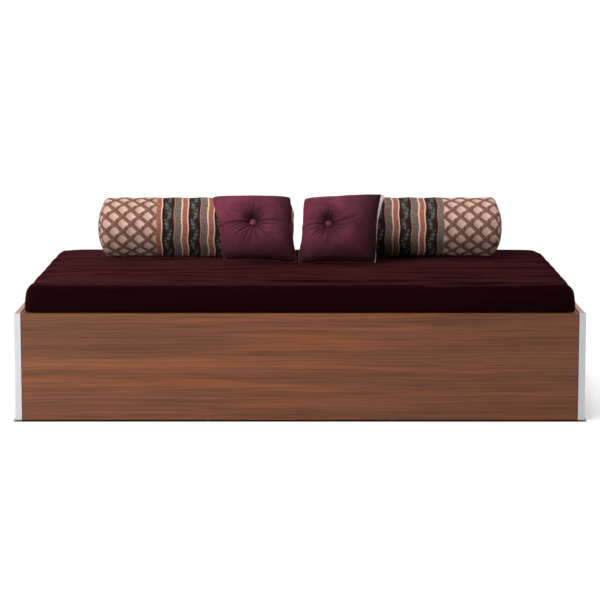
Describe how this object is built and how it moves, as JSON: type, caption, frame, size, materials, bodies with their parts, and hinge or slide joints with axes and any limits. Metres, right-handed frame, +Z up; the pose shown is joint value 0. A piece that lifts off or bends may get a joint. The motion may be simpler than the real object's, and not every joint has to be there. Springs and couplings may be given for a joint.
{
  "type": "daybed",
  "caption": "Storage daybed: low laminate box with metal edge profiles, a slab mattress on a lift-up deck with gas struts, round bolsters and buttoned back cushions.",
  "frame": {"origin": "on the floor under the middle of the box", "axes": "+X along the length to the right as seen from the front, -Y out of the front, +Z up"},
  "size_m": [1.902, 0.95, 0.6883],
  "materials": {
    "walnut": "satin",
    "carcass": "matte",
    "deck_board": "matte",
    "aluminium": "satin",
    "black_steel": "satin",
    "zinc": "satin",
    "glide": "matte",
    "maroon_cloth": "matte",
    "foam": "matte",
    "zip": "matte",
    "bolster_cloth": "matte",
    "cushion_velvet": "satin",
    "cushion_back_cloth": "matte",
    "twine": "matte"
  },
  "bodies": {
    "box": {"back_panel": "walnut", "centre_partition": "carcass", "corner_brackets": "zinc", "deck_ledger_back": "carcass", "deck_ledger_front": "carcass", "edge_profile_back_left": "aluminium", "edge_profile_back_right": "aluminium", "edge_profile_front_left": "aluminium", "edge_profile_front_right": "aluminium", "floor_batten_back": "carcass", "floor_batten_front": "carcass", "floor_glides": "glide", "frame_screws": "zinc", "front_panel": "walnut", "hinge_fixed_leaves": "zinc", "hinge_pins": "zinc", "ledger_screws": "zinc", "left_end_panel": "walnut", "right_end_panel": "walnut", "storage_floor_left": "carcass", "storage_floor_right": "carcass", "strut_foot_left": "black_steel", "strut_foot_right": "black_steel"},
    "deck": {"deck_back_rail": "black_steel", "deck_board_left": "deck_board", "deck_board_right": "deck_board", "deck_cross_rails": "black_steel", "deck_front_rail": "black_steel", "deck_screws": "zinc", "deck_side_rail_left": "black_steel", "deck_side_rail_right": "black_steel", "hinge_moving_leaves": "zinc", "strut_head_left": "black_steel", "strut_head_right": "black_steel"},
    "mattress": {"mattress_core": "foam", "mattress_cover": "maroon_cloth", "mattress_zip": "zip"},
    "left_bolster": {"bolster_left_core": "foam", "bolster_left_cover": "bolster_cloth", "bolster_left_zip": "zip"},
    "right_bolster": {"bolster_right_core": "foam", "bolster_right_cover": "bolster_cloth", "bolster_right_zip": "zip"},
    "left_cushion": {"cushion_left_back": "cushion_back_cloth", "cushion_left_buttons": "cushion_velvet", "cushion_left_core": "foam", "cushion_left_front": "cushion_velvet", "cushion_left_twine": "twine"},
    "right_cushion": {"cushion_right_back": "cushion_back_cloth", "cushion_right_buttons": "cushion_velvet", "cushion_right_core": "foam", "cushion_right_front": "cushion_velvet", "cushion_right_twine": "twine"},
    "left_strut_cylinder": {"strut_cylinder_left": "black_steel"},
    "right_strut_cylinder": {"strut_cylinder_right": "black_steel"},
    "left_strut_rod": {"strut_rod_left": "zinc"},
    "right_strut_rod": {"strut_rod_right": "zinc"}
  },
  "joints": [
    {"name": "deck_lift", "type": "hinge", "parent": "box", "child": "deck", "pos_m": [0, 0.45, 0.361], "axis": [-1, 0, 0], "range_deg": [0, 45]},
    {"name": "left_strut_pivot", "type": "hinge", "parent": "box", "child": "left_strut_cylinder", "pos_m": [-0.91, 0.396, 0.135], "axis": [-1, 0, 0], "range_deg": [0, 19.63]},
    {"name": "left_strut_travel", "type": "slide", "parent": "left_strut_cylinder", "child": "left_strut_rod", "axis": [0, -0.6332, 0.774], "range_m": [0, 0.1253]},
    {"name": "right_strut_pivot", "type": "hinge", "parent": "box", "child": "right_strut_cylinder", "pos_m": [0.91, 0.396, 0.135], "axis": [-1, 0, 0], "range_deg": [0, 19.63]},
    {"name": "right_strut_travel", "type": "slide", "parent": "right_strut_cylinder", "child": "right_strut_rod", "axis": [0, -0.6332, 0.774], "range_m": [0, 0.1253]},
    {"name": "mattress_lift_off", "type": "slide", "parent": "deck", "child": "mattress", "axis": [0, 0, 1], "range_m": [0, 0.35]},
    {"name": "left_bolster_lift_off", "type": "slide", "parent": "mattress", "child": "left_bolster", "axis": [0, 0.6, 0.8], "range_m": [0, 0.3]},
    {"name": "left_cushion_lift_off", "type": "slide", "parent": "mattress", "child": "left_cushion", "axis": [0, -0.6, 0.8], "range_m": [0, 0.3]},
    {"name": "right_bolster_lift_off", "type": "slide", "parent": "mattress", "child": "right_bolster", "axis": [0, 0.6, 0.8], "range_m": [0, 0.3]},
    {"name": "right_cushion_lift_off", "type": "slide", "parent": "mattress", "child": "right_cushion", "axis": [0, -0.6, 0.8], "range_m": [0, 0.3]}
  ],
  "couplings": [
    {"joint": "left_strut_pivot", "follows": "deck_lift", "ratio": 0.42521},
    {"joint": "left_strut_travel", "follows": "deck_lift", "m_per_rad": 0.15892},
    {"joint": "right_strut_pivot", "follows": "deck_lift", "ratio": 0.42521},
    {"joint": "right_strut_travel", "follows": "deck_lift", "m_per_rad": 0.15892}
  ]
}
